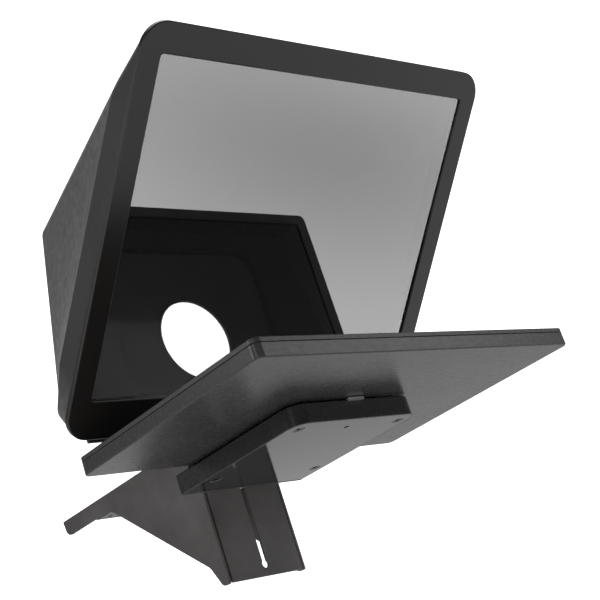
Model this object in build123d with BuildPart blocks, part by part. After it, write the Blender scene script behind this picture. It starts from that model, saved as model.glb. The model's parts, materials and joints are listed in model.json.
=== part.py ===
"""Through-the-lens teleprompter: leaning glass, hood, sliding monitor, slotted bracket.

Millimetres. +Z is up, the talent stands on the -Y side and the camera on the +Y side. The origin
is the centre of the tripod plate's lower face, on the plane of symmetry.
"""
import os

from build123d import *

os.makedirs("parts", exist_ok=True)

# ---------------------------------------------------------------- driving dimensions
SHEET = 3.0                      # bracket sheet
CLEAR = 0.1                      # radial clearance of a screw in its hole

# bracket
DECK_TOP = 20.0
DECK_HALF = 52.0                 # half the width between the side plates
DECK_REAR = 96.0
PANEL_FRONT = -167.0
PANEL_HALF = 50.0
PANEL_BOTTOM = -138.0
ARM_BOTTOM = 1.0
SIDE_FRONT = -166.0
SLOT_W = 6.5
SLOT_TOP = 6.0
SLOT_END = (-124.8, 4.5)         # height and radius of the round lower end
DECK_SLOT = (-105.0, 85.0)
TRIPOD_HALF = (DECK_HALF, 31.0)
TRIPOD_T = 8.0

# glass frame: outer size, lean and centre of its front face
FRAME_W = 472.0
FRAME_H = 412.5
FRAME_R = 28.0
FRAME_CENTRE = (0.0, -349.3, 163.6)
FACE_T = 5.0                     # the moulded face plate
WINDOW_W = 424.0
WINDOW_LOW = -165.2              # window's lower and upper edge, up the slope from the centre
WINDOW_HIGH = 175.8
LIP_T = 1.8                      # from the face to the gasket
GASKET_T = 0.7
GLASS_T = 3.0
GLASS_GRIP = 6.0                 # how far the glass goes under the lip
RETAINER_T = 2.5

# hood
WALL = 3.5
HOOD_FRONT = 6.5                 # depth of the hood's front edge behind the face
RIM_DEPTH = 37.0                 # depth of the rim's rear edge behind the face
RIM_INSET = 3.5
RIM_TOP = 172.0                  # the rim's upper edge, up the slope, and its upper corners
RIM_TOP_R = 48.0
RIM_LOW_R = 18.0                 # its lower corners
RIM_KNEE = -140.0                # below this height up the slope the rim draws in towards its foot
RIM_FOOT_INSET = 10.0
KNEE_OUT = 0.5                   # how far the knee stands out of a straight side where there is no inset
REAR_Y = -176.0                  # outer face of the hood's rear wall
REAR_TOP = 273.0
REAR_BOTTOM = 47.0
REAR_TOP_HALF = 171.5
REAR_BOTTOM_HALF = 212.0
REAR_R = 18.0
REAR_KNEE = 80.0                 # height on the rear wall that the rim's knee runs back to
OPENING_HALF = 115.0
OPENING_Z = (70.0, 245.5)
OPENING_R = 25.0
LENS_PLATE_Y = -168.0            # front face of the lens plate
LENS_Z = 138.0
LENS_R = 47.75

# monitor
MON_W = 440.0
MON_D = 283.0
MON_FRONT = -480.0
MON_BOTTOM = -17.0
MON_TOP = 2.0
MON_SEAM = -2.5
SEAM_GAP = 0.8                   # groove between the bezel and the back shell
MON_R = 8.0
MON_WALL = 2.0
SCREEN_W = 410.0
SCREEN_D = 257.0
VESA_HALF = 50.0

# interface box under the monitor
BOX_HALF = 87.0
BOX_FRONT = -365.5
BOX_REAR = -171.0
BOX_TOP = -19.0
BOX_BOTTOM = -39.5
BOX_R = 18.0
BOX_WALL = 2.5
BOX_ROOF = 4.0
BOX_LIP = 1.5                    # rim of the housing round the bottom cover
COVER_T = 2.0
HEAD_SINK = 0.4                  # how far the cover screws' heads lie below the surface
COVER_SCREWS = [(-71.0, -348.0), (71.0, -348.0), (-71.0, -211.0), (71.0, -211.0)]
SOCKET_Z = -30.2                 # axis of the BNC jacks
KEY_Z = -27.2

# height slide
BOLT_Z = -9.0
GUIDE_Z = (-22.0, -36.0)
HANGER_T = 3.0
HANGER_Y = -168.0                # its rear face

# camera plate
CAM_HALF = 32.0
CAM_Y = (-85.0, 25.0)
CAM_BOTTOM = DECK_TOP + 0.2
CAM_T = 8.0
CAM_STUD_Y = -60.0
CAM_GUIDE_Y = 0.0
CAM_SCREW_Y = -18.0

MON_MID_Y = MON_FRONT + MON_D / 2
MON_REAR = MON_FRONT + MON_D
VESA_Y = (COVER_SCREWS[0][1] + COVER_SCREWS[2][1]) / 2
FACE = Plane(origin=FRAME_CENTRE, x_dir=(1, 0, 0), z_dir=(0, -1, -1))
WINDOW_MID = (WINDOW_LOW + WINDOW_HIGH) / 2
WINDOW_H = WINDOW_HIGH - WINDOW_LOW
GLASS_W = WINDOW_W + 2 * GLASS_GRIP
GLASS_H = WINDOW_H + 2 * GLASS_GRIP
LOW, MID, HIGH = Align.MIN, Align.CENTER, Align.MAX


# ---------------------------------------------------------------- helpers
def write(piece, name):
    """Label a finished piece and write it as its own STEP file."""
    piece.part.label = name
    export_step(piece.part, f"parts/{name}.step")


def block(x, y, z, mode=Mode.ADD):
    """A box between pairs of coordinates, inside the current part."""
    with Locations(((x[0] + x[1]) / 2, (y[0] + y[1]) / 2, (z[0] + z[1]) / 2)):
        Box(x[1] - x[0], y[1] - y[0], z[1] - z[0], mode=mode)


def upright(y):
    """The vertical plane at this y that looks towards the talent."""
    return Plane.XZ.offset(-y)


def rearward(y):
    """The vertical plane at this y that looks towards the camera; its x runs to -X."""
    return Plane(origin=(0, y, 0), x_dir=(-1, 0, 0), z_dir=(0, 1, 0))


def underside(z):
    """The level plane at this height that looks down; its x runs to -X."""
    return Plane(origin=(0, 0, z), x_dir=(-1, 0, 0), z_dir=(0, 0, -1))


def behind_face(depth):
    """The plane this far behind the frame's face that looks into the hood."""
    origin = FACE.offset(-depth).origin
    return Plane(origin=origin, x_dir=(-1, 0, 0), z_dir=(0, 1, 1))


def rounded_section(plane, points, radii):
    """A face on a plane, inside straight sides, with a radius for each corner, or 0 for none."""
    with BuildSketch(plane) as section:
        with BuildLine():
            Polyline(*points, close=True)
        make_face()
        for point, radius in zip(points, radii):
            if radius:
                fillet(section.vertices().sort_by_distance(point)[0], radius)
    return section.sketch.face()


def socket_screws(name, plane, points, thread_r, length, head_r, head_h, socket_r):
    """Hex-socket screws: heads stand on the plane, threads run down behind it."""
    with BuildPart(plane) as screws:
        with Locations(*points):
            Cylinder(head_r, head_h, align=(MID, MID, LOW))
            Cylinder(thread_r, length, align=(MID, MID, HIGH))
        tops = screws.faces().filter_by(plane).group_by(Axis(plane.origin, plane.z_dir))[-1]
        chamfer(tops.edges(), head_h / 6)
        with BuildSketch(plane.offset(head_h)):
            with Locations(*points):
                RegularPolygon(socket_r, 6)
        extrude(amount=-head_h * 0.55, mode=Mode.SUBTRACT)
    write(screws, name)


def flat_screws(name, plane, points, thread_r, length, head_r):
    """Countersunk screws with a hex socket: heads end flush with the plane."""
    sink = head_r - thread_r
    with BuildPart(plane) as screws:
        with Locations(*points):
            Cone(thread_r, head_r, sink, align=(MID, MID, HIGH))
            Cylinder(thread_r, length, align=(MID, MID, HIGH))
        with BuildSketch(plane):
            with Locations(*points):
                RegularPolygon(head_r * 0.45, 6)
        extrude(amount=-sink * 0.7, mode=Mode.SUBTRACT)
    write(screws, name)


def tubes(name, plane, points, outer_r, inner_r, length):
    """Spacers or washers that stand on the plane."""
    with BuildPart(plane) as rings:
        with Locations(*points):
            Cylinder(outer_r, length, align=(MID, MID, LOW))
            Cylinder(inner_r, length, align=(MID, MID, LOW), mode=Mode.SUBTRACT)
    write(rings, name)


def corners(half_x, y_low, y_high):
    return [(-half_x, y_low), (half_x, y_low), (-half_x, y_high), (half_x, y_high)]


# ================================================================ bracket
SPACER_AT = corners(40.0, -22.0, 22.0)
RAIL_SCREW_AT = corners(30.0, -150.0, -125.0)

with BuildPart() as deck:
    block((-DECK_HALF, DECK_HALF), (PANEL_FRONT, DECK_REAR), (DECK_TOP - SHEET, DECK_TOP))
    with BuildSketch(Plane.XY.offset(DECK_TOP)):
        with Locations((0, sum(DECK_SLOT) / 2)):
            SlotOverall(DECK_SLOT[1] - DECK_SLOT[0], 6.6, rotation=90)
    extrude(amount=-SHEET, mode=Mode.SUBTRACT)
    with Locations(Plane.XY.offset(DECK_TOP)):
        with Locations(*SPACER_AT):
            CounterSinkHole(2.5 + CLEAR, 5.0 + CLEAR, SHEET, 90)
        with Locations(*RAIL_SCREW_AT):
            Hole(2.5 + CLEAR, SHEET)
write(deck, "bracket_deck")

# outline of a side plate as (y, z), and the rounding of its corners
SIDE_CORNERS = [
    ((SIDE_FRONT, DECK_TOP), 1.0),
    ((DECK_REAR, DECK_TOP), 1.5),
    ((DECK_REAR - 3.0, ARM_BOTTOM), 9.0),
    ((0.0, ARM_BOTTOM), 25.0),
    ((-143.0, -114.5), 14.0),
    ((-155.5, PANEL_BOTTOM - 0.5), 7.0),
    ((SIDE_FRONT, PANEL_BOTTOM - 0.5), 1.5),
]
for side, name in ((-1, "side_plate_left"), (1, "side_plate_right")):
    with BuildPart() as side_plate:
        with BuildSketch(Plane.YZ.offset(side * (DECK_HALF + SHEET / 2))) as profile:
            with BuildLine():
                Polyline(*[corner for corner, _ in SIDE_CORNERS], close=True)
            make_face()
            for corner, radius in SIDE_CORNERS:
                fillet(profile.vertices().sort_by_distance(corner)[0], radius)
        extrude(amount=SHEET / 2, both=True)
    write(side_plate, name)

with BuildPart() as front_panel:
    block(
        (-PANEL_HALF, PANEL_HALF), (PANEL_FRONT, PANEL_FRONT + SHEET), (PANEL_BOTTOM, DECK_TOP - SHEET)
    )
    fillet(front_panel.edges().filter_by(Axis.Y).group_by(Axis.Z)[0], 1.5)
    with BuildSketch(upright(PANEL_FRONT)):
        with Locations((0, (SLOT_TOP + SLOT_END[0]) / 2)):
            Rectangle(SLOT_W, SLOT_TOP - SLOT_END[0])
        with Locations((0, SLOT_END[0])):
            Circle(SLOT_END[1])
        with Locations((0, SLOT_TOP)):
            Circle(SLOT_W / 2)
    extrude(amount=-SHEET, mode=Mode.SUBTRACT)
write(front_panel, "front_panel")

PANEL_BACK = PANEL_FRONT + SHEET
with BuildPart() as corner_angles:
    for side in (-1, 1):
        outer = side * DECK_HALF
        wall = sorted((outer, outer - side * 2))
        flange = sorted((outer, outer - side * 14))
        block(wall, (PANEL_BACK, PANEL_BACK + 10), (PANEL_BOTTOM + 1.5, DECK_TOP - SHEET))
        block(flange, (PANEL_BACK, PANEL_BACK + 2), (PANEL_BOTTOM + 1.5, DECK_TOP - SHEET))
write(corner_angles, "corner_angles")

# tripod plate: 3/8 in thread in the middle, 1/4 in threads before and behind it
with BuildPart() as tripod_plate:
    block((-TRIPOD_HALF[0], TRIPOD_HALF[0]), (-TRIPOD_HALF[1], TRIPOD_HALF[1]), (0, TRIPOD_T))
    chamfer(tripod_plate.edges().filter_by(Axis.X), 0.6)
    with Locations(Plane.XY.offset(TRIPOD_T)):
        Hole(3.97, TRIPOD_T)
        with Locations((0, -19), (0, 19)):
            Hole(2.6, TRIPOD_T)
        with Locations(*SPACER_AT):
            Hole(2.5 + CLEAR, TRIPOD_T)
write(tripod_plate, "tripod_plate")
tubes("tripod_plate_spacers", Plane.XY.offset(TRIPOD_T), SPACER_AT, 5, 2.5 + CLEAR, 9)
flat_screws("tripod_plate_screws", Plane.XY.offset(DECK_TOP), SPACER_AT, 2.5, 19, 5)

# rail that carries the hood: a toe under the glass frame, a leg behind the hood, a tongue on the deck
RAIL_T = 2.5
RAIL_HALF = 160.0
STRIP_HALF = 197.0               # upturned edge of the toe, which runs on under the frame's foot
STRIP_TOP = 26.0
RAIL_TOE = -192.0
RAIL_TOP = 64.0
RAIL_LEG_Y = REAR_Y + RAIL_T
HOOD_SCREW_Z = 57.0
HOOD_SCREW_X = [-150.0, -95.0, -40.0, 40.0, 95.0, 150.0]
with BuildPart() as rail:
    block((-RAIL_HALF, RAIL_HALF), (RAIL_TOE, RAIL_LEG_Y), (DECK_TOP, DECK_TOP + RAIL_T))
    block((-RAIL_HALF, RAIL_HALF), (REAR_Y, RAIL_LEG_Y), (DECK_TOP, RAIL_TOP))
    block((-45, 45), (RAIL_LEG_Y, -112), (DECK_TOP, DECK_TOP + RAIL_T))
    fillet(rail.edges().filter_by(Axis.Z).filter_by_position(Axis.Y, RAIL_TOE - 1, RAIL_TOE + 1), 2)
    fillet(rail.edges().filter_by(Axis.Y).group_by(Axis.Z)[-1], 6)
    block((-STRIP_HALF, STRIP_HALF), (RAIL_TOE + 2, RAIL_TOE + 2 + RAIL_T), (DECK_TOP, STRIP_TOP))
    with Locations(Plane.XY.offset(DECK_TOP + RAIL_T)):
        with Locations(*RAIL_SCREW_AT):
            Hole(2.5 + CLEAR, RAIL_T)
    with Locations(upright(REAR_Y)):
        with Locations(*[(x, HOOD_SCREW_Z) for x in HOOD_SCREW_X]):
            Hole(2.0 + CLEAR, RAIL_T)
write(rail, "hood_mount_rail")
socket_screws("rail_screws", Plane.XY.offset(DECK_TOP + RAIL_T), RAIL_SCREW_AT, 2.5, 8, 4.6, 2.8, 1.7)

# ================================================================ hood
HOOD_W = FRAME_W - 3
HOOD_H = FRAME_H - 3


def face_section(depth, inset, top, radius, top_radius, foot_inset=KNEE_OUT):
    """Outline of the hood on a plane parallel to the glass, drawn in below the knee."""
    half_x = HOOD_W / 2 - inset
    low = inset - HOOD_H / 2
    foot_x = half_x - foot_inset
    points = [
        (-foot_x, low), (foot_x, low), (half_x, RIM_KNEE),
        (half_x, top), (-half_x, top), (-half_x, RIM_KNEE),
    ]
    radii = [radius, radius, 0, top_radius, top_radius, 0]
    return rounded_section(FACE.offset(-depth), points, radii)


def rear_section(y, inset, radius, bottom):
    """Outline of the hood on its upright rear plane, wider at the foot."""
    bottom_x, top_x, top = REAR_BOTTOM_HALF - inset, REAR_TOP_HALF - inset, REAR_TOP - inset
    knee_x = bottom_x + (top_x - bottom_x) * (REAR_KNEE - bottom) / (top - bottom) + KNEE_OUT
    points = [
        (-bottom_x, bottom), (bottom_x, bottom), (knee_x, REAR_KNEE),
        (top_x, top), (-top_x, top), (-knee_x, REAR_KNEE),
    ]
    return rounded_section(upright(y), points, [radius, radius, 0, radius, radius, 0])


outer_front = face_section(HOOD_FRONT, 0, HOOD_H / 2, FRAME_R, FRAME_R)
outer_rim = face_section(RIM_DEPTH, RIM_INSET, RIM_TOP, RIM_LOW_R, RIM_TOP_R, RIM_FOOT_INSET)
outer_rear = rear_section(REAR_Y, 0, REAR_R, REAR_BOTTOM)
inner_front = face_section(HOOD_FRONT - 0.5, WALL, HOOD_H / 2 - WALL, FRAME_R - WALL, FRAME_R - WALL)
inner_rim = face_section(
    RIM_DEPTH - 2.5, RIM_INSET + WALL, RIM_TOP - WALL, RIM_LOW_R - WALL, RIM_TOP_R - WALL, RIM_FOOT_INSET
)
inner_rear = rear_section(REAR_Y - WALL, WALL, REAR_R - WALL, REAR_BOTTOM + 3)

FLANGE_DEPTH = 9.5               # inward flange that the glass frame is screwed to
FLANGE_T = 3.0
FLANGE_TOP = 197.7
flange = rounded_section(
    FACE.offset(-FLANGE_DEPTH),
    [(-231.5, -202.0), (231.5, -202.0), (231.5, FLANGE_TOP), (-231.5, FLANGE_TOP)],
    [24, 24, 28, 28],
)
FRAME_SCREW_AT = [(x, -188.0) for x in (-200.0, -70.0, 70.0, 200.0)]
FRAME_SCREW_AT += [(side * 222.5, y) for side in (-1, 1) for y in (-55.0, 65.0, 160.0)]

opening_h = OPENING_Z[1] - OPENING_Z[0]
opening_mid = sum(OPENING_Z) / 2
LENS_PLATE_T = 3.0
LENS_PLATE_W = 2 * OPENING_HALF + 32
LENS_PLATE_H = opening_h + 22
LENS_PLATE_MID = opening_mid + 6
LENS_SCREW_AT = [
    (side * (OPENING_HALF + 9), z) for side in (-1, 1) for z in (85.0, 138.0, 191.0, 244.0)
] + [(x, OPENING_Z[1] + 9) for x in (-70.0, 0.0, 70.0)]
HOOD_SCREW_AT = [(x, HOOD_SCREW_Z) for x in HOOD_SCREW_X]

with BuildPart() as hood:
    loft([outer_front, outer_rim])
    loft([outer_rim, outer_rear])
    loft([inner_front, inner_rim], mode=Mode.SUBTRACT)
    loft([inner_rim, inner_rear], mode=Mode.SUBTRACT)
    extrude(flange, amount=-FLANGE_T)
    with BuildSketch(FACE.offset(-FLANGE_DEPTH)):
        with Locations((0, WINDOW_MID)):
            Rectangle(WINDOW_W + 4, WINDOW_H + 4)
        with Locations(*FRAME_SCREW_AT):
            Circle(1.5 + CLEAR)
    extrude(amount=-FLANGE_T, mode=Mode.SUBTRACT)
    # neck round the rear opening, with the flange of the lens plate
    with BuildSketch(upright(REAR_Y)):
        with Locations((0, opening_mid)):
            RectangleRounded(2 * (OPENING_HALF + WALL), opening_h + 2 * WALL, OPENING_R + WALL)
    extrude(amount=REAR_Y - LENS_PLATE_Y)
    with BuildSketch(upright(LENS_PLATE_Y)):
        with Locations((0, LENS_PLATE_MID)):
            RectangleRounded(LENS_PLATE_W, LENS_PLATE_H, 20)
    extrude(amount=3)
    with BuildSketch(upright(LENS_PLATE_Y)):
        with Locations((0, opening_mid)):
            RectangleRounded(2 * OPENING_HALF, opening_h, OPENING_R)
    extrude(amount=20, mode=Mode.SUBTRACT)
    with BuildSketch(upright(LENS_PLATE_Y)):
        with Locations(*LENS_SCREW_AT):
            Circle(1.5 + CLEAR)
    extrude(amount=3, mode=Mode.SUBTRACT)
    # bosses for the screws that come through the rail
    with Locations(upright(REAR_Y - WALL)):
        with Locations(*HOOD_SCREW_AT):
            Cylinder(5, 6, align=(MID, MID, LOW))
    with Locations(upright(REAR_Y)):
        with Locations(*HOOD_SCREW_AT):
            Cylinder(2 + CLEAR, 8, align=(MID, MID, LOW), mode=Mode.SUBTRACT)
write(hood, "hood_shell")
socket_screws("hood_screws", rearward(RAIL_LEG_Y), HOOD_SCREW_AT, 2.0, 9.5, 3.8, 2.6, 1.5)

# lens plate: flat sheet behind the neck, with the hole that the camera looks through
with BuildPart() as lens_plate:
    with BuildSketch(upright(LENS_PLATE_Y)):
        with Locations((0, LENS_PLATE_MID)):
            RectangleRounded(LENS_PLATE_W, LENS_PLATE_H, 20)
        with Locations((0, LENS_Z)):
            Circle(LENS_R, mode=Mode.SUBTRACT)
        with Locations(*LENS_SCREW_AT):
            Circle(1.5 + CLEAR, mode=Mode.SUBTRACT)
    extrude(amount=-LENS_PLATE_T)
write(lens_plate, "lens_plate")
lens_plate_back = rearward(LENS_PLATE_Y + LENS_PLATE_T)
socket_screws("lens_plate_screws", lens_plate_back, LENS_SCREW_AT, 1.5, 5.5, 2.8, 1.8, 1.0)

# ================================================================ glass and its frame
RING_BACK = LIP_T + GASKET_T + GLASS_T
RING = [(-226.0, -198.0), (226.0, -198.0), (226.0, 193.5), (-226.0, 193.5)]
CLIP_L = 40.0
CLIP_W = 12.0
CLIP_AT = (                      # centre of each glass clip, its turn, and its screw
    [((x, 186.0), 0, (x, 189.0)) for x in (-135.0, 0.0, 135.0)]
    + [((x, -172.5), 0, (x, -175.5)) for x in (-135.0, 0.0, 135.0)]
    + [((side * 219.0, y), 90, (side * 222.0, y)) for side in (-1, 1) for y in (-110.0, 7.0, 124.0)]
)
CLIP_SCREW_AT = [screw for _, _, screw in CLIP_AT]

ring = rounded_section(FACE.offset(-FACE_T), RING, [22] * 4)
with BuildPart() as glass_frame:
    with BuildSketch(FACE):
        RectangleRounded(FRAME_W, FRAME_H, FRAME_R)
    extrude(amount=-FACE_T)
    extrude(ring, amount=FACE_T - RING_BACK)
    with BuildSketch(FACE):
        with Locations((0, WINDOW_MID)):
            RectangleRounded(WINDOW_W, WINDOW_H, 4)
    extrude(amount=-RING_BACK, mode=Mode.SUBTRACT)
    chamfer(glass_frame.faces().filter_by(FACE).sort_by(Axis(FACE.origin, FACE.z_dir))[-1].edges(), 0.8)
    with BuildSketch(FACE.offset(-LIP_T)):
        with Locations((0, WINDOW_MID)):
            Rectangle(GLASS_W + 1, GLASS_H + 1)
    extrude(amount=LIP_T - RING_BACK, mode=Mode.SUBTRACT)
    with Locations(behind_face(RING_BACK)):
        with Locations(*FRAME_SCREW_AT):
            Cylinder(3.4, FLANGE_DEPTH - RING_BACK, align=(MID, MID, LOW))
    with Locations(behind_face(FLANGE_DEPTH)):
        with Locations(*FRAME_SCREW_AT):
            Cylinder(1.5 + CLEAR, 7, align=(MID, MID, HIGH), mode=Mode.SUBTRACT)
    with Locations(behind_face(RING_BACK)):
        with Locations(*CLIP_SCREW_AT):
            Cylinder(1.25 + CLEAR, 3.5, align=(MID, MID, HIGH), mode=Mode.SUBTRACT)
write(glass_frame, "glass_frame")

with BuildPart() as seal:
    with BuildSketch(FACE.offset(-FACE_T)):
        RectangleRounded(FRAME_W - 6, FRAME_H - 6, FRAME_R - 3)
        with Locations((0, (RING[0][1] + RING[2][1]) / 2)):
            RectangleRounded(RING[1][0] * 2 + 0.6, RING[2][1] - RING[0][1] + 0.6, 22, mode=Mode.SUBTRACT)
    extrude(amount=FACE_T - HOOD_FRONT)
write(seal, "frame_seal")

with BuildPart() as gasket:
    with BuildSketch(FACE.offset(-LIP_T)):
        with Locations((0, WINDOW_MID)):
            Rectangle(GLASS_W, GLASS_H)
            Rectangle(WINDOW_W + 1, WINDOW_H + 1, mode=Mode.SUBTRACT)
    extrude(amount=-GASKET_T)
write(gasket, "glass_gasket")

with BuildPart() as glass:
    with BuildSketch(FACE.offset(-LIP_T - GASKET_T)):
        with Locations((0, WINDOW_MID)):
            Rectangle(GLASS_W, GLASS_H)
    extrude(amount=-GLASS_T)
write(glass, "beam_splitter_glass")

with BuildPart() as clips:
    with BuildSketch(behind_face(RING_BACK)):
        for centre, turn, screw in CLIP_AT:
            with Locations(centre):
                Rectangle(CLIP_L, CLIP_W, rotation=turn)
            with Locations(screw):
                Circle(1.25 + CLEAR, mode=Mode.SUBTRACT)
    extrude(amount=RETAINER_T)
    with Locations(behind_face(RING_BACK + RETAINER_T)):
        with Locations(*CLIP_SCREW_AT):
            CounterSinkHole(1.25 + CLEAR, 2.4 + CLEAR, RETAINER_T, 90)
write(clips, "glass_retainers")
flat_screws("retainer_screws", behind_face(RING_BACK + RETAINER_T), CLIP_SCREW_AT, 1.25, 5.5, 2.4)
frame_screw_plane = behind_face(FLANGE_DEPTH + FLANGE_T)
socket_screws("frame_screws", frame_screw_plane, FRAME_SCREW_AT, 1.5, 9, 2.75, 3, 1.1)

# ================================================================ monitor
VESA_AT = corners(VESA_HALF, VESA_Y - VESA_HALF, VESA_Y + VESA_HALF)
FLOOR_TOP = MON_BOTTOM + MON_WALL
PANEL_BACK_Z = -7.6
DISPLAY_POST_AT = corners(94.0, VESA_Y - 34, VESA_Y + 34)
DISPLAY_BOARD_Z = -13.0
CABLE_Y = -299.5

with BuildPart() as bezel:
    with BuildSketch(Plane.XY.offset(MON_SEAM)):
        with Locations((0, MON_MID_Y)):
            RectangleRounded(MON_W, MON_D, MON_R)
    extrude(amount=MON_TOP - MON_SEAM)
    chamfer(bezel.faces().sort_by(Axis.Z)[-1].edges(), 0.6)
    with BuildSketch(Plane.XY.offset(MON_SEAM)):
        with Locations((0, MON_MID_Y)):
            RectangleRounded(MON_W - 2 * MON_WALL, MON_D - 2 * MON_WALL, MON_R - MON_WALL)
    extrude(amount=MON_TOP - MON_SEAM - 1.5, mode=Mode.SUBTRACT)
    with BuildSketch(Plane.XY.offset(MON_TOP)):
        with Locations((0, MON_MID_Y)):
            Rectangle(SCREEN_W, SCREEN_D)
    extrude(amount=-1.5, mode=Mode.SUBTRACT)
    # lip that goes down inside the back shell
    with BuildSketch(Plane.XY.offset(MON_TOP - 1.5)):
        with Locations((0, MON_MID_Y)):
            RectangleRounded(MON_W - 2 * MON_WALL, MON_D - 2 * MON_WALL, MON_R - MON_WALL)
            RectangleRounded(MON_W - 7, MON_D - 7, MON_R - 3.5, mode=Mode.SUBTRACT)
    extrude(amount=MON_SEAM - MON_TOP - 2)
write(bezel, "monitor_bezel")

with BuildPart() as back_shell:
    with BuildSketch(Plane.XY.offset(MON_BOTTOM)):
        with Locations((0, MON_MID_Y)):
            RectangleRounded(MON_W, MON_D, MON_R)
    extrude(amount=MON_SEAM - SEAM_GAP - MON_BOTTOM)
    chamfer(back_shell.faces().sort_by(Axis.Z)[0].edges(), 1.0)
    with BuildSketch(Plane.XY.offset(FLOOR_TOP)):
        with Locations((0, MON_MID_Y)):
            RectangleRounded(MON_W - 2 * MON_WALL, MON_D - 2 * MON_WALL, MON_R - MON_WALL)
    extrude(amount=MON_SEAM - FLOOR_TOP, mode=Mode.SUBTRACT)
    with Locations(Plane.XY.offset(FLOOR_TOP)):
        with Locations(*VESA_AT):
            Cylinder(5, PANEL_BACK_Z - FLOOR_TOP - 0.3, align=(MID, MID, LOW))
        with Locations(*DISPLAY_POST_AT):
            Cylinder(3, DISPLAY_BOARD_Z - FLOOR_TOP, align=(MID, MID, LOW))
            Cylinder(1.4, DISPLAY_BOARD_Z - FLOOR_TOP + 2.2, align=(MID, MID, LOW))
    with Locations(Plane.XY.offset(MON_BOTTOM)):
        with Locations(*VESA_AT):
            Cylinder(2 + CLEAR, 9, align=(MID, MID, LOW), mode=Mode.SUBTRACT)
    block((-14, 14), (CABLE_Y - 3, CABLE_Y + 3), (MON_BOTTOM, FLOOR_TOP), Mode.SUBTRACT)
write(back_shell, "monitor_back_shell")

with BuildPart() as lcd:
    with Locations((0, MON_MID_Y, (PANEL_BACK_Z + 0.4) / 2)):
        Box(428, 275, 0.4 - PANEL_BACK_Z)
    chamfer(lcd.edges().filter_by(Axis.Z), 1)
write(lcd, "lcd_panel")

with BuildPart(Plane.XY.offset(FLOOR_TOP)) as supports:
    with Locations(*corners(180.0, MON_MID_Y - 100, MON_MID_Y + 100)):
        Cylinder(7, PANEL_BACK_Z - FLOOR_TOP, align=(MID, MID, LOW))
write(supports, "panel_supports")

with BuildPart() as display_board:
    block((-100, 100), (VESA_Y - 40, VESA_Y + 40), (DISPLAY_BOARD_Z, DISPLAY_BOARD_Z + 1.6))
    with Locations(Plane.XY.offset(DISPLAY_BOARD_Z + 1.6)):
        with Locations(*DISPLAY_POST_AT):
            Hole(1.5, 1.6)
        with Locations((-60, VESA_Y + 10), (10, VESA_Y + 12), (55, VESA_Y - 8)):
            Box(16, 16, 1.5, align=(MID, MID, LOW))
        with Locations((-20, VESA_Y - 24), (30, VESA_Y - 26)):
            Box(24, 6, 2.5, align=(MID, MID, LOW))
write(display_board, "display_board")

# ================================================================ interface box under the monitor
CONTROL_Z = (-33.0, -31.4)
POST_AT = [(-56.0, -338.0), (56.0, -338.0), (-56.0, -207.0), (56.0, -207.0)]
ROOF_UNDER = BOX_TOP - BOX_ROOF
COVER_TOP = BOX_BOTTOM + COVER_T
BOX_WALL_X = BOX_HALF - BOX_WALL
HANGER_SCREW_AT = [(-70.0, -29.0), (-34.0, -29.0), (34.0, -29.0), (70.0, -29.0)]
SENSOR_AT = (0.0, -343.0)
BNC_Y = (-325.0, -302.0)
HDMI_Y = -270.0
DC_Y = -248.0
DC_Z = -27.3
POWER_Y = -229.0
KEY_Y = (-197.0, -187.0)
HDMI_MID_Z = CONTROL_Z[1] + 3


def box_outline(plane, inset):
    """Footprint of the box: round corners at the front, square ones at the rear."""
    half_x = BOX_HALF - inset
    points = [(-half_x, BOX_FRONT + inset), (half_x, BOX_FRONT + inset)]
    points += [(half_x, BOX_REAR - inset), (-half_x, BOX_REAR - inset)]
    return rounded_section(plane, points, [BOX_R - inset, BOX_R - inset, 0.8, 0.8])


with BuildPart() as display_cable:
    block((-12, 12), (CABLE_Y - 0.5, CABLE_Y + 0.5), (CONTROL_Z[1], DISPLAY_BOARD_Z))
write(display_cable, "display_cable")

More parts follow.
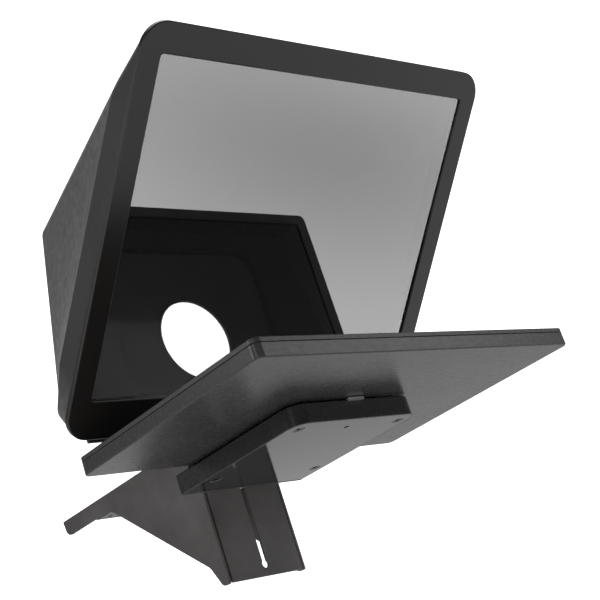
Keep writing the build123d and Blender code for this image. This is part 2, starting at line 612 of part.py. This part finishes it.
right_wall = Plane(origin=(BOX_HALF, 0, 0), x_dir=(0, 1, 0), z_dir=(1, 0, 0))
with BuildPart() as housing:
    extrude(box_outline(Plane.XY.offset(BOX_BOTTOM), 0), amount=BOX_TOP - BOX_BOTTOM)
    chamfer(housing.faces().sort_by(Axis.Z)[-1].edges(), 0.5)
    chamfer(housing.faces().sort_by(Axis.Z)[0].edges(), 0.5)
    extrude(box_outline(Plane.XY.offset(BOX_BOTTOM), BOX_LIP), amount=COVER_T, mode=Mode.SUBTRACT)
    extrude(
        box_outline(Plane.XY.offset(COVER_TOP), BOX_WALL), amount=ROOF_UNDER - COVER_TOP, mode=Mode.SUBTRACT
    )
    with Locations(Plane.XY.offset(COVER_TOP)):
        with Locations(*COVER_SCREWS):
            Cylinder(7.5, ROOF_UNDER - COVER_TOP, align=(MID, MID, LOW))
    with Locations(Plane.XY.offset(CONTROL_Z[1])):
        with Locations(*POST_AT):
            Cylinder(3.5, ROOF_UNDER - CONTROL_Z[1], align=(MID, MID, LOW))
            Cylinder(1.25 + CLEAR, 7, align=(MID, MID, LOW), mode=Mode.SUBTRACT)
    with Locations(rearward(BOX_REAR - BOX_WALL)):
        with Locations(*HANGER_SCREW_AT):
            Cylinder(5, 5, align=(MID, MID, HIGH))
    with Locations(rearward(BOX_REAR)):
        with Locations(*HANGER_SCREW_AT):
            Cylinder(2 + CLEAR, 7, align=(MID, MID, HIGH), mode=Mode.SUBTRACT)
    with Locations(underside(BOX_BOTTOM)):
        with Locations(*COVER_SCREWS):
            CounterSinkHole(3 + CLEAR, 6.4 + CLEAR + HEAD_SINK, 15, 90)
    with Locations(Plane.XY.offset(BOX_TOP)):
        with Locations(*VESA_AT):
            Hole(2 + CLEAR, BOX_ROOF)
    block((-14, 14), (CABLE_Y - 3, CABLE_Y + 3), (ROOF_UNDER, BOX_TOP), Mode.SUBTRACT)
    with BuildSketch(right_wall):
        with Locations(*[(y, SOCKET_Z) for y in BNC_Y]):
            Circle(4.75 + CLEAR)
        with Locations((HDMI_Y, HDMI_MID_Z)):
            Rectangle(15.4, 6.4)
        with Locations((DC_Y, DC_Z)):
            Circle(4 + CLEAR)
        with Locations((POWER_Y, KEY_Z)):
            Circle(3.65)
        with Locations(*[(y, KEY_Z) for y in KEY_Y]):
            Circle(3.05)
    extrude(amount=-BOX_WALL, mode=Mode.SUBTRACT)
write(housing, "box_housing")

with BuildPart() as cover:
    extrude(box_outline(Plane.XY.offset(BOX_BOTTOM), BOX_LIP + 0.1), amount=COVER_T)
    chamfer(cover.faces().sort_by(Axis.Z)[0].edges(), 0.3)
    with Locations(underside(BOX_BOTTOM)):
        with Locations(*COVER_SCREWS):
            CounterSinkHole(3 + CLEAR, 6.4 + CLEAR + HEAD_SINK, COVER_T, 90)
        with Locations(SENSOR_AT):
            Hole(2.9, COVER_T)
write(cover, "box_bottom_cover")
flat_screws("cover_screws", underside(BOX_BOTTOM + HEAD_SINK), COVER_SCREWS, 3.0, 13.0, 6.4)

with BuildPart() as sensor:
    with Locations((*SENSOR_AT, BOX_BOTTOM + 1.2)):
        Cylinder(2.8, COVER_T - 1.2, align=(MID, MID, LOW))
    with Locations((*SENSOR_AT, COVER_TOP)):
        Cylinder(4, 0.9, align=(MID, MID, LOW))
write(sensor, "sensor_window")

with BuildPart() as control_board:
    block((-62, 62), (-345, -180), CONTROL_Z)
    block((62, 82), (-290, -222), CONTROL_Z)
    block((62, 82), (-202, -182), CONTROL_Z)
    with Locations(Plane.XY.offset(CONTROL_Z[1])):
        with Locations(*POST_AT):
            Hole(1.25 + CLEAR, 1.6)
        with Locations((-25, -262), (28, -275)):
            Box(18, 18, 1.6, align=(MID, MID, LOW))
        with Locations((-40, -300), (38, -240), (-8, -225)):
            Box(9, 12, 2.4, align=(MID, MID, LOW))
        with Locations((0, CABLE_Y + 3.5)):
            Box(28, 5, 4, align=(MID, MID, LOW))
        # switches behind the power button and the two keys
        with Locations((75, POWER_Y)):
            Box(7, 8, 5.8, align=(MID, MID, LOW))
        with Locations(*[(76, y) for y in KEY_Y]):
            Box(6, 6, 5.8, align=(MID, MID, LOW))
    with Locations(underside(CONTROL_Z[0])):
        with Locations((0, -340)):
            Cylinder(2, 2.2, align=(MID, MID, LOW))
write(control_board, "control_board")
socket_screws("board_screws", underside(CONTROL_Z[0]), POST_AT, 1.25, 7, 2.3, 2, 0.9)

TONGUE_HALF = 11.0
TONGUE_FRONT = -369.5
with BuildPart() as vesa_plate:
    block((-62, 62), (VESA_Y - 62, VESA_Y + 62), (BOX_TOP, MON_BOTTOM))
    block((-TONGUE_HALF, TONGUE_HALF), (TONGUE_FRONT, VESA_Y - 60), (BOX_TOP, BOX_TOP + 1.2))
    block((-TONGUE_HALF, TONGUE_HALF), (TONGUE_FRONT, BOX_FRONT - 0.5), (BOX_TOP - 1.4, BOX_TOP + 1.2))
    fillet(vesa_plate.edges().filter_by(Axis.Z).group_by(Axis.Y)[0], 1.5)
    with Locations(Plane.XY.offset(MON_BOTTOM)):
        with Locations(*VESA_AT):
            Hole(2 + CLEAR, 2)
    block((-14, 14), (CABLE_Y - 3, CABLE_Y + 3), (BOX_TOP, MON_BOTTOM), Mode.SUBTRACT)
write(vesa_plate, "vesa_plate")
socket_screws("vesa_screws", underside(ROOF_UNDER), VESA_AT, 2.0, 14, 3.8, 2.6, 1.5)

with BuildPart(right_wall) as bnc:
    with Locations(*[(y, SOCKET_Z) for y in BNC_Y]):
        Cylinder(4.75, 23, align=(MID, MID, MID))
        Cylinder(6.2, 1.6, align=(MID, MID, LOW))
    with Locations(*[(y, SOCKET_Z, -BOX_WALL) for y in BNC_Y]):
        Cylinder(6.2, 3, align=(MID, MID, HIGH))
    with Locations(*[(y, SOCKET_Z, 7) for y in BNC_Y]):
        Box(11.4, 1.8, 1.8)
    with Locations(*[(y, SOCKET_Z, 11.5) for y in BNC_Y]):
        Cylinder(3.8, 8, align=(MID, MID, HIGH), mode=Mode.SUBTRACT)
        Cylinder(2.1, 9, align=(MID, MID, HIGH))
        Cylinder(0.7, 6, align=(MID, MID, HIGH), mode=Mode.SUBTRACT)
write(bnc, "bnc_jacks")

with BuildPart(right_wall) as hdmi:
    with Locations((HDMI_Y, HDMI_MID_Z, 0.8)):
        Box(15, 6, 14, align=(MID, MID, HIGH))
        Box(14, 4.8, 9, align=(MID, MID, HIGH), mode=Mode.SUBTRACT)
    with Locations((HDMI_Y, HDMI_MID_Z, -1)):
        Box(11, 1.2, 10, align=(MID, MID, HIGH))
write(hdmi, "hdmi_socket")

with BuildPart(right_wall) as dc:
    with Locations((DC_Y, (CONTROL_Z[1] + ROOF_UNDER) / 2, -BOX_WALL)):
        Box(10, ROOF_UNDER - CONTROL_Z[1] - 0.2, 13, align=(MID, MID, HIGH))
    with Locations((DC_Y, DC_Z, 1)):
        Cylinder(4, 5, align=(MID, MID, HIGH))
        Cylinder(2.8, 9, align=(MID, MID, HIGH), mode=Mode.SUBTRACT)
    with Locations((DC_Y, DC_Z, -0.5)):
        Cylinder(1, 10, align=(MID, MID, HIGH))
write(dc, "dc_inlet")


def push_key(name, y, radius, proud, flange_r):
    """A key through the right wall: cap outside, wider collar inside."""
    with BuildPart(right_wall) as key:
        with Locations((y, KEY_Z, proud)):
            Cylinder(radius, proud + 7, align=(MID, MID, HIGH))
        chamfer(key.faces().sort_by(Axis.X)[-1].edges(), 0.5)
        with Locations((y, KEY_Z, -BOX_WALL - 0.1)):
            Cylinder(flange_r, 1.5, align=(MID, MID, HIGH))
    write(key, name)


push_key("power_button", POWER_Y, 3.6, 2.5, 4.1)
push_key("menu_key", KEY_Y[0], 3.0, 1.8, 3.8)
push_key("select_key", KEY_Y[1], 3.0, 1.8, 3.8)

# ================================================================ height slide
with BuildPart() as hanger:
    block((-BOX_HALF, BOX_HALF), (HANGER_Y - HANGER_T, HANGER_Y), (BOX_BOTTOM, 3))
    for side in (-1, 1):
        return_x = sorted((side * BOX_HALF, side * (BOX_HALF - HANGER_T)))
        block(return_x, (-195, HANGER_Y - HANGER_T), (BOX_TOP + 0.5, 3))
    fillet(hanger.edges().filter_by(Axis.X).filter_by_position(Axis.Y, -196, -194), 5)
    with Locations(rearward(HANGER_Y)):
        with Locations(*HANGER_SCREW_AT):
            CounterSinkHole(2 + CLEAR, 4 + CLEAR, HANGER_T, 90)
        with Locations((0, BOLT_Z)):
            Hole(3 + CLEAR, HANGER_T)
        with Locations(*[(0, z) for z in GUIDE_Z]):
            Hole(2 + CLEAR, HANGER_T)
write(hanger, "hanger_bracket")
flat_screws("hanger_screws", rearward(HANGER_Y), HANGER_SCREW_AT, 2.0, 9.5, 4.0)

with BuildPart() as pads:
    for side in (-1, 1):
        block(sorted((side * 10, side * 46)), (HANGER_Y, PANEL_FRONT - 0.2), (-37, 0))
write(pads, "slide_pads")

with BuildPart() as guides:
    with Locations(*[(0, HANGER_Y, z) for z in GUIDE_Z]):
        Cylinder(3.1, 3.8, rotation=(-90, 0, 0), align=(MID, MID, LOW))
        Cylinder(2, 3, rotation=(90, 0, 0), align=(MID, MID, LOW))
write(guides, "slide_guides")

with BuildPart(upright(HANGER_Y - HANGER_T)) as clamp_bolt:
    with Locations((0, BOLT_Z)):
        Cylinder(5, 5, align=(MID, MID, LOW))
        Cylinder(3, 25, align=(MID, MID, HIGH))
    chamfer(clamp_bolt.faces().sort_by(Axis.Y)[0].edges(), 0.6)
    with BuildSketch(upright(HANGER_Y - HANGER_T - 5)):
        with Locations((0, BOLT_Z)):
            RegularPolygon(2.9, 6)
    extrude(amount=-3, mode=Mode.SUBTRACT)
write(clamp_bolt, "clamp_bolt")
tubes("clamp_washer", rearward(-163.9), [(0, BOLT_Z)], 9, 3.2, 1.6)

with BuildPart(rearward(-162.2)) as clamp_knob:
    with Locations((0, BOLT_Z)):
        Cylinder(8, 5, align=(MID, MID, LOW))
    with BuildSketch(rearward(-158.2)):
        with Locations((0, BOLT_Z)):
            Circle(13)
            with PolarLocations(13, 6):
                Circle(3.6)
    extrude(amount=10.2)
    fillet(clamp_knob.faces().sort_by(Axis.Y)[-1].edges(), 1.2)
    with Locations((0, BOLT_Z)):
        Cylinder(3.06, 14.2, align=(MID, MID, LOW), mode=Mode.SUBTRACT)
write(clamp_knob, "clamp_knob")

# ================================================================ camera support on the deck
CAM_TOP = CAM_BOTTOM + CAM_T
with BuildPart() as camera_plate:
    block((-CAM_HALF, CAM_HALF), CAM_Y, (CAM_BOTTOM, CAM_TOP))
    fillet(camera_plate.edges().filter_by(Axis.Z), 4)
    chamfer(camera_plate.faces().sort_by(Axis.Z)[-1].edges(), 0.6)
    with Locations(Plane.XY.offset(CAM_TOP)):
        with Locations((0, CAM_STUD_Y)):
            CounterBoreHole(3 + CLEAR, 5 + CLEAR, 4.2, CAM_T)
        with Locations((0, CAM_GUIDE_Y)):
            Hole(3 + CLEAR, CAM_T)
    with Locations(underside(CAM_BOTTOM)):
        with Locations((0, CAM_SCREW_Y)):
            CounterBoreHole(3.25, 8.3, 4.2, CAM_T)
write(camera_plate, "camera_plate")

with BuildPart() as pad:
    block((-28, 28), (CAM_Y[0] + 5, CAM_Y[1] - 5), (CAM_TOP, CAM_TOP + 1.5))
    fillet(pad.edges().filter_by(Axis.Z), 2)
    with Locations((0, CAM_SCREW_Y, CAM_TOP + 1.5)):
        Hole(4, 1.5)
write(pad, "camera_pad")

with BuildPart() as stud:
    with Locations((0, CAM_STUD_Y, CAM_TOP - 4.2)):
        Cylinder(5, 4, align=(MID, MID, LOW))
        Cylinder(3, CAM_TOP - 4.2 - 8.8, align=(MID, MID, HIGH))
write(stud, "camera_plate_stud")

with BuildPart() as guide_pin:
    with Locations((0, CAM_GUIDE_Y, CAM_TOP - 0.2)):
        Cylinder(3, CAM_TOP - 0.2 - 14, align=(MID, MID, HIGH))
    chamfer(guide_pin.faces().sort_by(Axis.Z)[0].edges(), 0.6)
write(guide_pin, "camera_plate_guide")
tubes("camera_washer", Plane.XY.offset(15.5), [(0, CAM_STUD_Y)], 9, 3.2, 1.4)

with BuildPart(Plane.XY.offset(9)) as camera_knob:
    with BuildSketch(Plane.XY.offset(9)):
        with Locations((0, CAM_STUD_Y)):
            Circle(12.5)
            with PolarLocations(12.5, 6):
                Circle(2.5)
    extrude(amount=6.4)
    fillet(camera_knob.faces().sort_by(Axis.Z)[0].edges(), 0.8)
    with Locations((0, CAM_STUD_Y)):
        Cylinder(3.06, 6.4, align=(MID, MID, LOW), mode=Mode.SUBTRACT)
write(camera_knob, "camera_knob")

with BuildPart() as camera_screw:
    with Locations((0, CAM_SCREW_Y, CAM_TOP - 4.0)):
        Cylinder(8, 3.4, align=(MID, MID, HIGH))
        Cylinder(2.4, 5.5, align=(MID, MID, LOW))
    with Locations((0, CAM_SCREW_Y, CAM_TOP + 1.5)):
        Cylinder(3.175, 5, align=(MID, MID, LOW))
    chamfer(camera_screw.faces().sort_by(Axis.Z)[-1].edges(), 0.6)
    block((-8, 8), (CAM_SCREW_Y - 0.8, CAM_SCREW_Y + 0.8), (CAM_TOP - 7.4, CAM_TOP - 6.2), Mode.SUBTRACT)
write(camera_screw, "camera_screw")
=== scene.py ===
"""Studio scene of a through-the-lens teleprompter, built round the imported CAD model."""

import json
import math

import bpy
from mathutils import Matrix, Vector


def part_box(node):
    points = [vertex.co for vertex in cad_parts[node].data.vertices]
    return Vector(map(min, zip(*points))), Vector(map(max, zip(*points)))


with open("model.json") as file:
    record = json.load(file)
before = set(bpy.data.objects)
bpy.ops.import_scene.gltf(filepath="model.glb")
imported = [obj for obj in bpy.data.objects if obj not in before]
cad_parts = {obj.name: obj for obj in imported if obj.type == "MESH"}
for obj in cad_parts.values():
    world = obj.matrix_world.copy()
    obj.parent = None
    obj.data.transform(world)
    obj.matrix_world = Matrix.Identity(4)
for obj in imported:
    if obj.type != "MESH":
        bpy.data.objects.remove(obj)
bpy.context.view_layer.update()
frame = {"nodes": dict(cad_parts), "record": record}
scene = bpy.context.scene
scene.view_settings.view_transform = "Standard"

# ---------------------------------------------------------------- camera
# in front of the glass, to its left and below it, looking up
CAMERA_AT = (-0.977184, -1.256796, -0.340848)
CAMERA_RIGHT = Vector((0.72218, -0.62071, -0.30524))
CAMERA_UP = Vector((0.00289, -0.43858, 0.89869))
LENS_MM, SENSOR_MM = 81.7, 36.0
CLIP = (0.05, 50.0)


def add_camera():
    data = bpy.data.cameras.new("camera")
    data.lens = LENS_MM
    data.sensor_width = SENSOR_MM
    data.clip_start, data.clip_end = CLIP
    camera = bpy.data.objects.new("camera", data)
    back = CAMERA_RIGHT.cross(CAMERA_UP).normalized()
    right = CAMERA_RIGHT.normalized()
    axes = Matrix((right, back.cross(right), back)).transposed()
    camera.matrix_world = Matrix.Translation(CAMERA_AT) @ axes.to_4x4()
    scene.collection.objects.link(camera)
    scene.camera = camera


# ---------------------------------------------------------------- materials
GLASS_T = 0.003
DOWN_FRONT = (0.0, -math.sqrt(0.5), -math.sqrt(0.5))     # the way the glass looks
glass_low, glass_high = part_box("beam_splitter_glass")
# how far the glass's front face is from the origin, that way
GLASS_FRONT = GLASS_T / 2 - (glass_low.y + glass_high.z) * math.sqrt(0.5)
SILVER_DEPTH = (0.002, 0.001)    # behind that face, where the silver starts and is complete
SILVER_SHARE = 0.36
HOOD_MIDDLE = (0.0, -0.27, 0.16)          # a place inside the hood that its inner faces look at
HOOD_TURN = (-0.002, 0.002)      # how far a face looks away from there, from an inner to an outer one
# painted shade and light: the hood's black inside is darker high up and paler low down
FLOCK_SHADED_TOP = (0.004, 0.004, 0.004, 1)     # its black inside: high up, and low down
FLOCK_LIT_FOOT = (0.014, 0.014, 0.014, 1)
FLOCK_SHADE_FADE = (0.24, 0.06)        # heights between which one turns into the other
# painted light: the monitor case's upright faces coloured paler than its underside
CASE_LIT_SIDE = (0.038, 0.0368, 0.0363, 1)   # the monitor case's upright faces
CASE_LIT_TURN = (-0.9, -0.4)         # rise of the normal from the underside's to the sides'
GLOSS_PATCH = 8                  # how many grains wide the patches of uneven gloss are
NOISE_MIDDLE = (0.3, 0.7)        # what noise stays within, nearly everywhere


def new_material(name):
    material = bpy.data.materials.new(name)
    material.use_nodes = True
    tree = material.node_tree
    shader = tree.nodes["Principled BSDF"]
    return material, tree, shader


def node(tree, kind, **values):
    """A node with some of its properties and unlinked inputs set."""
    made = tree.nodes.new(kind)
    for key, value in values.items():
        if hasattr(made, key):
            setattr(made, key, value)
        else:
            made.inputs[key.replace("_", " ")].default_value = value
    return made


def noise(tree, size, detail=2.0, stretch=(1, 1, 1)):
    """3-D noise whose features are about size metres across."""
    coords = node(tree, "ShaderNodeTexCoord")
    mapping = node(tree, "ShaderNodeMapping", Scale=stretch)
    texture = node(tree, "ShaderNodeTexNoise", Scale=1.0 / size, Detail=detail)
    tree.links.new(coords.outputs["Object"], mapping.inputs["Vector"])
    tree.links.new(mapping.outputs["Vector"], texture.inputs["Vector"])
    return texture.outputs["Fac"]


def spread(tree, source, low, high):
    """Noise mapped to low..high."""
    start, end = NOISE_MIDDLE
    ranged = node(
        tree, "ShaderNodeMapRange", From_Min=start, From_Max=end, To_Min=low, To_Max=high
    )
    tree.links.new(source, ranged.inputs["Value"])
    return ranged.outputs["Result"]


def finish_of(
    name, colour, rough, metallic=0.0, specular=0.5, mottle=0.12, mottle_size=0.06,
    grain=0.0006, grain_depth=0.00002, stretch=(1, 1, 1), rough_spread=0.05, edge=0.0,
):
    """A painted, moulded, anodised or plated surface with its own grain and unevenness.

    mottle is how far the colour strays, over patches of mottle_size. grain is the size of the
    bumps, drawn out by stretch, and edge the radius that its corners look rounded to.
    """
    material, tree, shader = new_material(name)
    shader.inputs["Metallic"].default_value = metallic
    shader.inputs["Specular IOR Level"].default_value = specular
    level = spread(tree, noise(tree, mottle_size, 3.0), 0.0, 1.0)
    mix = node(tree, "ShaderNodeMix", data_type="RGBA")
    mix.inputs["A"].default_value = (*[c * (1 - mottle) for c in colour], 1)
    mix.inputs["B"].default_value = (*[c * (1 + mottle) for c in colour], 1)
    tree.links.new(level, mix.inputs["Factor"])
    tree.links.new(mix.outputs["Result"], shader.inputs["Base Color"])
    patches = noise(tree, grain * GLOSS_PATCH, 2.0, stretch)
    gloss = spread(tree, patches, rough - rough_spread, rough + rough_spread)
    tree.links.new(gloss, shader.inputs["Roughness"])
    bump = node(tree, "ShaderNodeBump", Strength=1.0, Distance=grain_depth)
    tree.links.new(noise(tree, grain, 2.0, stretch), bump.inputs["Height"])
    if edge:
        bevel = node(tree, "ShaderNodeBevel", samples=4, Radius=edge)
        tree.links.new(bevel.outputs["Normal"], bump.inputs["Normal"])
    tree.links.new(bump.outputs["Normal"], shader.inputs["Normal"])
    return material


def along(tree, source, direction):
    """How far the vector source reaches along a direction."""
    dot = node(tree, "ShaderNodeVectorMath", operation="DOT_PRODUCT")
    dot.inputs[1].default_value = direction
    tree.links.new(source, dot.inputs[0])
    return dot.outputs["Value"]


def between(tree, source, start, end, low, high):
    """source mapped from start..end to low..high, with soft ends."""
    ranged = node(
        tree, "ShaderNodeMapRange", interpolation_type="SMOOTHSTEP",
        From_Min=start, From_Max=end, To_Min=low, To_Max=high,
    )
    tree.links.new(source, ranged.inputs["Value"])
    return ranged.outputs["Result"]


def beam_splitter():
    """Clear glass whose front face is part-silvered; the back face and edges only let light by."""
    material, tree, shader = new_material("beam_splitter")
    shader.inputs["Base Color"].default_value = (0.93, 0.93, 0.93, 1)
    shader.inputs["Metallic"].default_value = 1.0
    shader.inputs["Roughness"].default_value = 0.01
    coords = node(tree, "ShaderNodeTexCoord")
    outward = along(tree, coords.outputs["Object"], DOWN_FRONT)
    start, full = (GLASS_FRONT - depth for depth in SILVER_DEPTH)
    silver = between(tree, outward, start, full, 0.0, SILVER_SHARE)
    tree.links.new(silver, shader.inputs["Alpha"])
    return material


def mix_into_colour(tree, share):
    """Puts a Mix node between the shader and its base colour, and gives back the node."""
    base = tree.nodes["Principled BSDF"].inputs["Base Color"]
    colour = base.links[0].from_socket
    mix = node(tree, "ShaderNodeMix", data_type="RGBA")
    tree.links.new(share, mix.inputs["Factor"])
    tree.links.new(colour, mix.inputs["A"])
    tree.links.new(mix.outputs["Result"], base)
    return mix


def flock_and_painted_shade_inside(material):
    """Turns the hood's inner faces matt black, as they face back towards its middle, with painted
    shade high up and painted light low down.
    """
    tree = material.node_tree
    geometry = node(tree, "ShaderNodeNewGeometry")
    coords = node(tree, "ShaderNodeTexCoord")
    outward = node(tree, "ShaderNodeVectorMath", operation="SUBTRACT")
    outward.inputs[1].default_value = HOOD_MIDDLE
    tree.links.new(coords.outputs["Object"], outward.inputs[0])
    facing = node(tree, "ShaderNodeVectorMath", operation="DOT_PRODUCT")
    tree.links.new(geometry.outputs["True Normal"], facing.inputs[0])
    tree.links.new(outward.outputs["Vector"], facing.inputs[1])
    inside = between(tree, facing.outputs["Value"], *HOOD_TURN, 1.0, 0.0)
    flock_and_shade = node(tree, "ShaderNodeMix", data_type="RGBA")
    flock_and_shade.inputs["A"].default_value = FLOCK_SHADED_TOP
    flock_and_shade.inputs["B"].default_value = FLOCK_LIT_FOOT
    # painted shade: the flock fades from darker at the top to paler at the foot
    height = along(tree, coords.outputs["Object"], (0, 0, 1))
    tree.links.new(between(tree, height, *FLOCK_SHADE_FADE, 0.0, 1.0), flock_and_shade.inputs["Factor"])
    tree.links.new(flock_and_shade.outputs["Result"], mix_into_colour(tree, inside).inputs["B"])


def paint_lit_sides(material):
    """Gives the monitor case's upright faces a paler coat than its underside; this is painted light
    on the sides.
    """
    tree = material.node_tree
    geometry = node(tree, "ShaderNodeNewGeometry")
    rise = along(tree, geometry.outputs["True Normal"], (0, 0, 1))
    share = between(tree, rise, *CASE_LIT_TURN, 0.0, 1.0)
    # painted light on the upright faces
    mix_into_colour(tree, share).inputs["B"].default_value = CASE_LIT_SIDE


FINISHES = {
    "bracket_paint": dict(
        colour=(0.058, 0.0543, 0.0532), rough=0.42, specular=0.36, mottle=0.25,
        grain=0.0009, grain_depth=0.00003, edge=0.0006,
    ),
    "tripod_metal": dict(colour=(0.05, 0.05, 0.05), rough=0.38, metallic=0.6, edge=0.0006),
    "black_screw": dict(colour=(0.03, 0.03, 0.03), rough=0.35, metallic=0.7),
    "steel_screw": dict(colour=(0.45, 0.45, 0.46), rough=0.3, metallic=1.0),
    "hood_plastic": dict(
        colour=(0.011, 0.011, 0.011), rough=0.42, specular=0.4, mottle=0.4, mottle_size=0.12,
        grain=0.0011, grain_depth=0.00005, edge=0.001,
    ),
    "lens_plate_black": dict(colour=(0.02, 0.02, 0.02), rough=0.5),
    "frame_black": dict(
        colour=(0.009, 0.008, 0.0075), rough=0.3, specular=0.36, rough_spread=0.02, edge=0.0014
    ),
    "rubber_black": dict(colour=(0.01, 0.01, 0.01), rough=0.7, specular=0.3),
    "clip_steel": dict(colour=(0.3, 0.3, 0.3), rough=0.4, metallic=0.8),
    "monitor_case": dict(
        colour=(0.019, 0.0184, 0.018), rough=0.25, specular=0.26, mottle=0.3, mottle_size=0.05,
        grain=0.0012, grain_depth=0.00002, stretch=(1, 3, 3), rough_spread=0.045, edge=0.0008,
    ),
    "bezel_black": dict(colour=(0.03, 0.0285, 0.0275), rough=0.36, specular=0.35, edge=0.0006),
    "screen_panel": dict(colour=(0.004, 0.004, 0.005), rough=0.08, grain_depth=0.0),
    "box_paint": dict(colour=(0.01, 0.01, 0.011), rough=0.3, specular=0.4, edge=0.0008),
    "box_gloss": dict(colour=(0.01, 0.01, 0.01), rough=0.1, specular=0.8, grain_depth=0.0),
    "sensor_dark": dict(colour=(0.01, 0.0, 0.0), rough=0.1, grain_depth=0.0),
    "board_green": dict(colour=(0.01, 0.06, 0.025), rough=0.3),
    "ribbon_grey": dict(colour=(0.3, 0.3, 0.32), rough=0.5),
    "connector_metal": dict(colour=(0.6, 0.6, 0.6), rough=0.22, metallic=1.0),
    "connector_black": dict(colour=(0.012, 0.012, 0.012), rough=0.45),
    "key_plastic": dict(colour=(0.02, 0.02, 0.02), rough=0.4),
    "knob_plastic": dict(colour=(0.02, 0.02, 0.02), rough=0.5),
    "slide_plastic": dict(colour=(0.6, 0.6, 0.57), rough=0.5),
}


def paint_nodes():
    """Gives every CAD node the finish of its slot."""
    finishes = {name: finish_of(name, **values) for name, values in FINISHES.items()}
    finishes["beam_splitter"] = beam_splitter()
    flock_and_painted_shade_inside(finishes["hood_plastic"])
    paint_lit_sides(finishes["monitor_case"])
    for part in frame["record"]["subparts"]:
        mesh = frame["nodes"][part["node"]].data
        mesh.materials.clear()
        mesh.materials.append(finishes[part["material_slot"]])


# ---------------------------------------------------------------- studio
FLOOR_SIZE, FLOOR_Z = 40.0, -0.9
# The floor glows unevenly, so what the glass and the monitor's underside mirror is uneven too.
FLOOR_SHADE = (1.35, -1.2)       # middle of a wide dimmer patch of the lit floor
SHADE_SQUEEZE = 0.45             # its distances along x count this much
MONITOR_SHADE = (2.0, 1.95, 0)   # middle of a small one, mirrored in the monitor's underside
# its light: from and to these distances in metres, from and to these strengths
NEAR_LIGHT = (0.0, 0.55, 0.28, 0.74)
FAR_LIGHT = (0.7, 2.4, 1.0, 0.3)
RIM_LIGHT = (3.2, 6.0, 0.0, 0.5)
MONITOR_LIGHT = (0.05, 0.45, 0.05, 1.0)
LEFT_LIGHT = (0.3, -0.6, 0.0, 0.16)          # from and to these places along x

BACKDROP = (0.69, 0.65, 0.31)    # towards the white backdrop behind the object
WORLD_FADE = (0.1, 1.0)          # how nearly a direction points there, from dim to bright
WORLD_DIM, WORLD_BRIGHT = 0.11, 0.75
BACKDROP_SEEN = 1.7              # how bright the camera sees it

# name, place, what it points at, width and height, watts
SOFTBOXES = [
    ("rear_left", (-2.6, 1.0, 0.9), (0, -0.25, 0.0), (1.2, 1.6), 24),
    ("front_left", (-2.2, -1.2, 0.2), (0, -0.3, 0.0), (0.5, 1.6), 8),
    ("front_right", (2.1, -2.4, 0.85), (0, -0.3, -0.05), (1.0, 1.1), 10),
    ("overhead", (0.4, 0.3, 2.6), (0, -0.2, 0), (2.0, 2.0), 30),
]


def math_node(tree, operation, first, second):
    """A Math node of two linked values, as its output."""
    made = node(tree, "ShaderNodeMath", operation=operation)
    tree.links.new(first, made.inputs[0])
    tree.links.new(second, made.inputs[1])
    return made.outputs["Value"]


def floor_light(tree):
    """How strongly each point of the floor glows."""
    place = node(tree, "ShaderNodeTexCoord").outputs["Object"]
    x, y = FLOOR_SHADE
    squeeze = node(tree, "ShaderNodeMapping", Scale=(SHADE_SQUEEZE, 1.0, 1.0))
    squeeze.inputs["Location"].default_value = (-SHADE_SQUEEZE * x, -y, 0.0)
    tree.links.new(place, squeeze.inputs["Vector"])
    length = node(tree, "ShaderNodeVectorMath", operation="LENGTH")
    tree.links.new(squeeze.outputs["Vector"], length.inputs[0])
    distance = length.outputs["Value"]
    beside = node(tree, "ShaderNodeVectorMath", operation="DISTANCE")
    beside.inputs[1].default_value = MONITOR_SHADE
    tree.links.new(place, beside.inputs[0])

    near = between(tree, distance, *NEAR_LIGHT)
    far = between(tree, distance, *FAR_LIGHT)
    small = between(tree, beside.outputs["Value"], *MONITOR_LIGHT)
    total = math_node(tree, "MULTIPLY", math_node(tree, "MULTIPLY", near, far), small)
    left = between(tree, along(tree, place, (1, 0, 0)), *LEFT_LIGHT)
    rim = between(tree, distance, *RIM_LIGHT)
    return math_node(tree, "ADD", math_node(tree, "ADD", total, left), rim)


def add_floor():
    bpy.ops.mesh.primitive_plane_add(size=FLOOR_SIZE, location=(0, 0, FLOOR_Z))
    floor = bpy.context.object
    floor.name = "floor"
    material, tree, shader = new_material("floor")
    shader.inputs["Base Color"].default_value = (0.8, 0.8, 0.8, 1)
    shader.inputs["Roughness"].default_value = 1.0
    shader.inputs["Specular IOR Level"].default_value = 0.0
    shader.inputs["Emission Color"].default_value = (1, 1, 1, 1)
    tree.links.new(floor_light(tree), shader.inputs["Emission Strength"])
    floor.data.materials.append(material)


def add_world():
    """Dim all round, brighter towards the backdrop, which the camera sees as plain white."""
    world = bpy.data.worlds.new("studio")
    scene.world = world
    world.use_nodes = True
    tree = world.node_tree
    background = tree.nodes["Background"]
    background.inputs["Color"].default_value = (1, 1, 1, 1)
    ahead = along(tree, node(tree, "ShaderNodeTexCoord").outputs["Generated"], BACKDROP)
    lit = between(tree, ahead, *WORLD_FADE, WORLD_DIM, WORLD_BRIGHT)
    strength = node(tree, "ShaderNodeMix", data_type="FLOAT")
    tree.links.new(lit, strength.inputs["A"])
    strength.inputs["B"].default_value = BACKDROP_SEEN
    path = node(tree, "ShaderNodeLightPath")
    tree.links.new(path.outputs["Is Camera Ray"], strength.inputs["Factor"])
    tree.links.new(strength.outputs["Result"], background.inputs["Strength"])


def add_softbox(name, at, target, size, watts):
    data = bpy.data.lights.new(name, "AREA")
    data.shape = "RECTANGLE"
    data.size, data.size_y = size
    data.energy = watts
    light = bpy.data.objects.new(name, data)
    light.location = at
    light.rotation_euler = (Vector(target) - Vector(at)).to_track_quat("-Z", "Y").to_euler()
    scene.collection.objects.link(light)


add_camera()
paint_nodes()
add_floor()
add_world()
for softbox in SOFTBOXES:
    add_softbox(*softbox)
